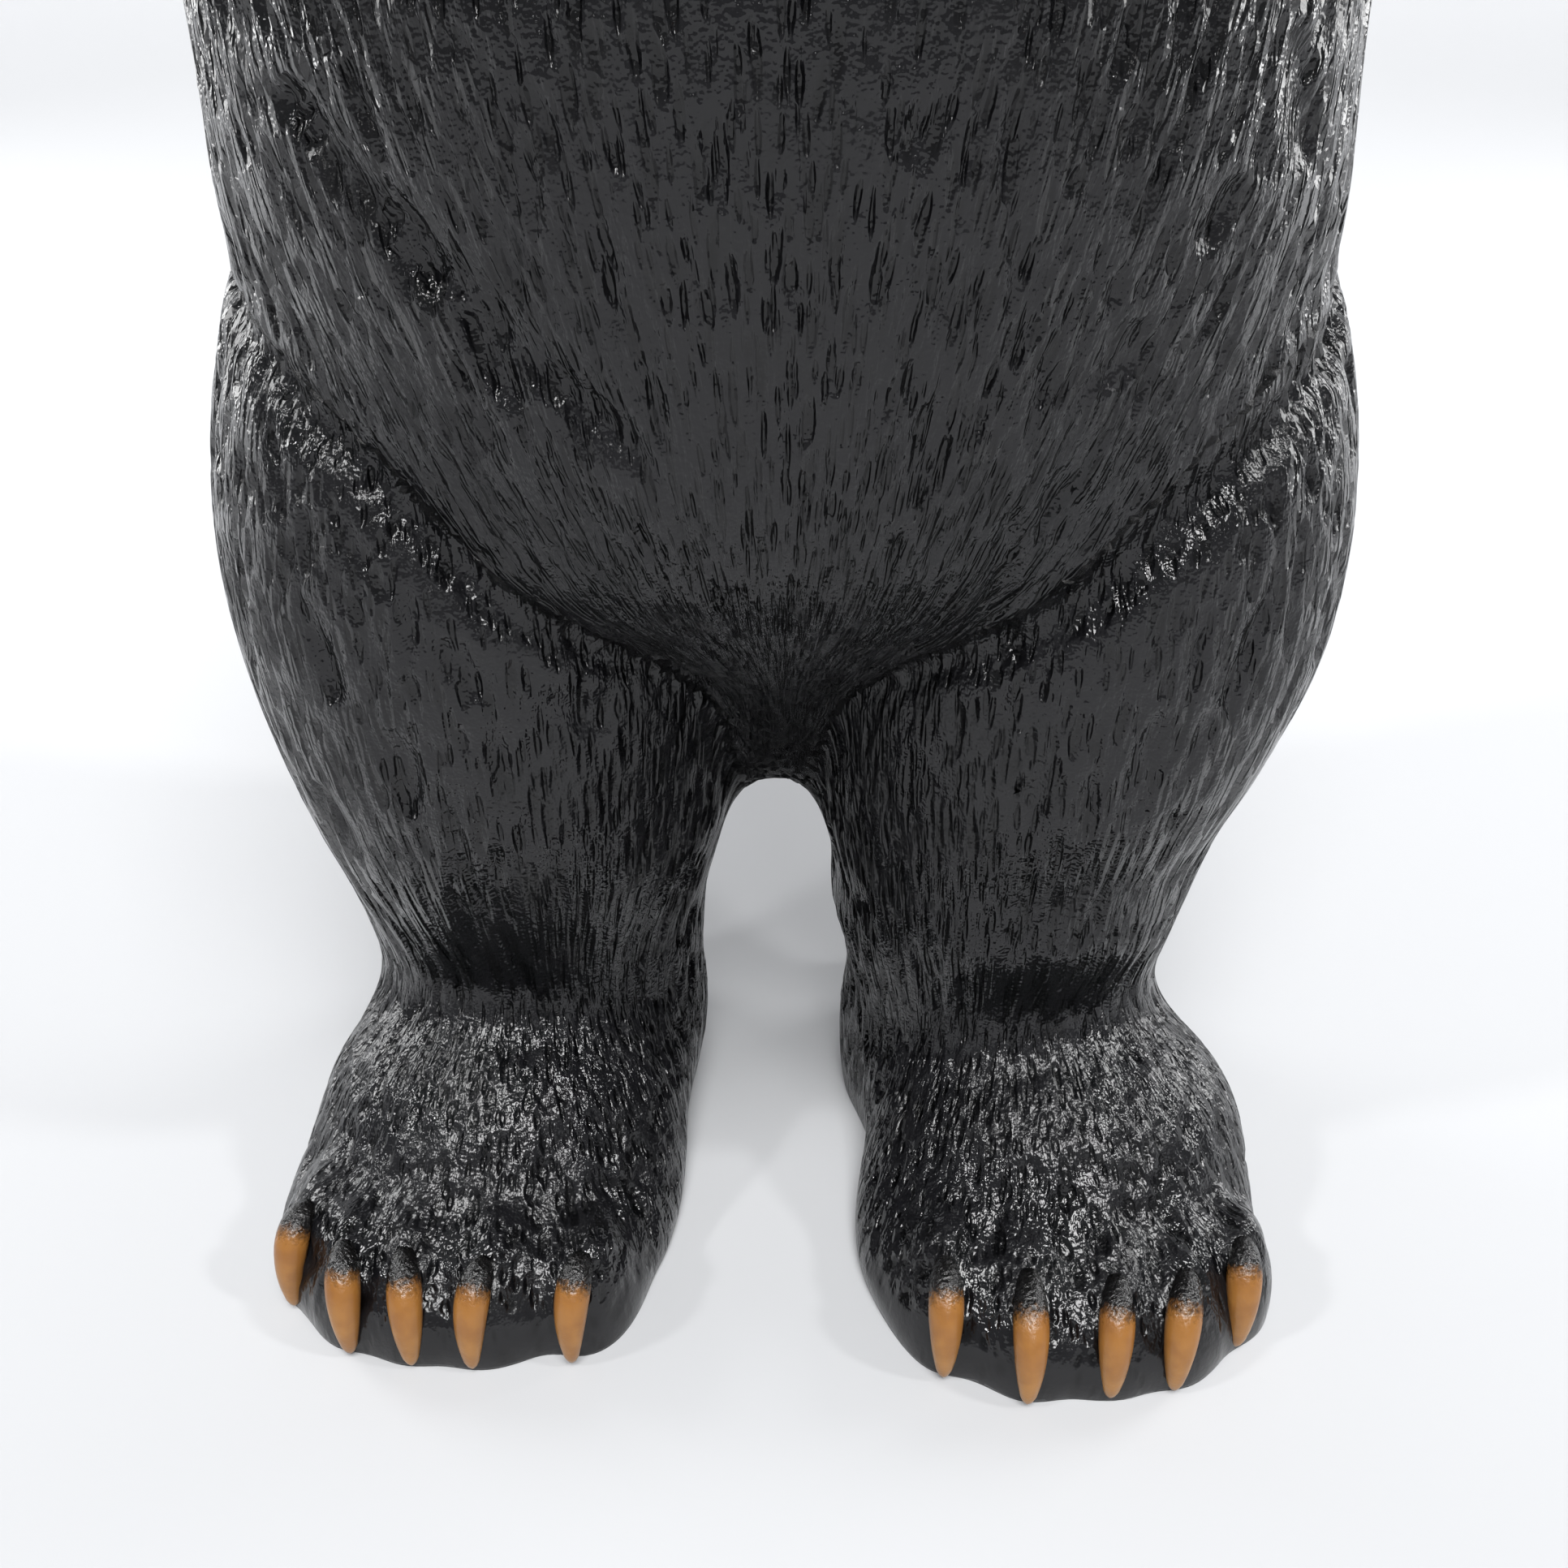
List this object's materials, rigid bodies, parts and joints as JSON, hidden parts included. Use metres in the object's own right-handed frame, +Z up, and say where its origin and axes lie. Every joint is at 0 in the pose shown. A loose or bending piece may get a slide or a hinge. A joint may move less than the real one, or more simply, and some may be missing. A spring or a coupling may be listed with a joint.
{
  "type": "resin bear statue",
  "caption": "Standing bear cast in resin, upright on flat soles with its forepaws held before the chest, carved fur, tan claws.",
  "frame": {"origin": "on the ground, under the middle of the statue's box", "axes": "+Z up; the bear faces -Y, and its own left side is at +X"},
  "size_m": [0.4236, 0.3822, 0.8999],
  "materials": {
    "black_gloss_paint": "gloss black paint over cast resin"
  },
  "bodies": {
    "root": {"bear_statue": "black_gloss_paint"}
  },
  "joints": []
}
